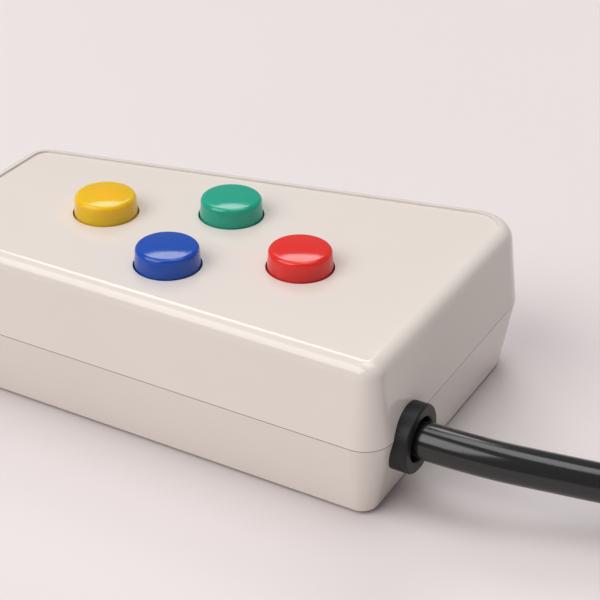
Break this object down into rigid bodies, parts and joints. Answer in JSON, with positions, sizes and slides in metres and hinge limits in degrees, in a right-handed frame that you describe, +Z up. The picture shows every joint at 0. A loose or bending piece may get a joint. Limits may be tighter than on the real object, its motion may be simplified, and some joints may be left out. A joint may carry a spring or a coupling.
{
  "type": "customer feedback button terminal",
  "caption": "Small slanted plastic counter box with coloured round push buttons on a recessed top and a cable through a rubber grommet.",
  "frame": {"origin": "middle of the case's length and width, on the surface that its feet stand on", "axes": "+X along the case toward the end that the cable leaves, -Y out of the front wall, +Z up"},
  "size_m": [0.2559, 0.1006, 0.0351],
  "materials": {
    "case_plastic": "glossy moulded, warm off-white",
    "foot_rubber": "matte",
    "screw_steel": "zinc plated",
    "button_yellow": "glossy moulded",
    "button_blue": "glossy moulded",
    "button_green": "glossy moulded",
    "button_red": "glossy moulded",
    "switch_plastic": "matte moulded",
    "switch_metal": "stamped",
    "tinned_metal": "tinned",
    "board_laminate": "solder mask",
    "chip_resin": "moulded resin",
    "ceramic": "fired ceramic",
    "nylon": "natural nylon",
    "cable_jacket": "satin jacket",
    "wire_red": "insulation",
    "wire_white": "insulation",
    "wire_green": "insulation",
    "wire_black": "insulation",
    "grommet_rubber": "matte",
    "tie_fabric": "woven hook and loop",
    "plug_moulding": "satin overmoulding",
    "plug_metal": "nickel plated",
    "plug_gold": "gold plated"
  },
  "bodies": {
    "case": {"top_shell": "case_plastic", "bottom_shell": "case_plastic", "rubber_feet": "foot_rubber", "case_screws": "screw_steel", "board_screws": "screw_steel", "switch_base_yellow": "switch_plastic", "switch_cover_yellow": "switch_metal", "switch_dome_yellow": "switch_metal", "switch_base_blue": "switch_plastic", "switch_cover_blue": "switch_metal", "switch_dome_blue": "switch_metal", "switch_base_green": "switch_plastic", "switch_cover_green": "switch_metal", "switch_dome_green": "switch_metal", "switch_base_red": "switch_plastic", "switch_cover_red": "switch_metal", "switch_dome_red": "switch_metal", "switch_leads": "tinned_metal", "chip_leads": "tinned_metal", "crystal": "tinned_metal", "header_pins": "tinned_metal", "circuit_board": "board_laminate", "controller_chip": "chip_resin", "resistors": "chip_resin", "capacitors": "ceramic", "wire_header": "nylon", "wire_plug": "nylon", "cable_grip": "nylon", "plug_tongue": "nylon", "cable_inner": "cable_jacket", "cable": "cable_jacket", "cable_coil": "cable_jacket", "wire_red": "wire_red", "wire_white": "wire_white", "wire_green": "wire_green", "wire_black": "wire_black", "cable_grommet": "grommet_rubber", "coil_tie": "tie_fabric", "plug_hood": "plug_moulding", "plug_shell": "plug_metal", "plug_contacts": "plug_gold"},
    "button_yellow": {"button_cap_yellow": "button_yellow", "switch_plunger_yellow": "switch_plastic"},
    "button_blue": {"button_cap_blue": "button_blue", "switch_plunger_blue": "switch_plastic"},
    "button_green": {"button_cap_green": "button_green", "switch_plunger_green": "switch_plastic"},
    "button_red": {"button_cap_red": "button_red", "switch_plunger_red": "switch_plastic"}
  },
  "joints": [
    {"name": "press_yellow", "type": "slide", "parent": "case", "child": "button_yellow", "axis": [0, 0, -1], "range_m": [0, 0.0005], "stiffness_N_per_m": 800, "springref_m": -0.001, "deforming": ["switch_dome_yellow"]},
    {"name": "press_blue", "type": "slide", "parent": "case", "child": "button_blue", "axis": [0, 0, -1], "range_m": [0, 0.0005], "stiffness_N_per_m": 800, "springref_m": -0.001, "deforming": ["switch_dome_blue"]},
    {"name": "press_green", "type": "slide", "parent": "case", "child": "button_green", "axis": [0, 0, -1], "range_m": [0, 0.0005], "stiffness_N_per_m": 800, "springref_m": -0.001, "deforming": ["switch_dome_green"]},
    {"name": "press_red", "type": "slide", "parent": "case", "child": "button_red", "axis": [0, 0, -1], "range_m": [0, 0.0005], "stiffness_N_per_m": 800, "springref_m": -0.001, "deforming": ["switch_dome_red"]}
  ]
}
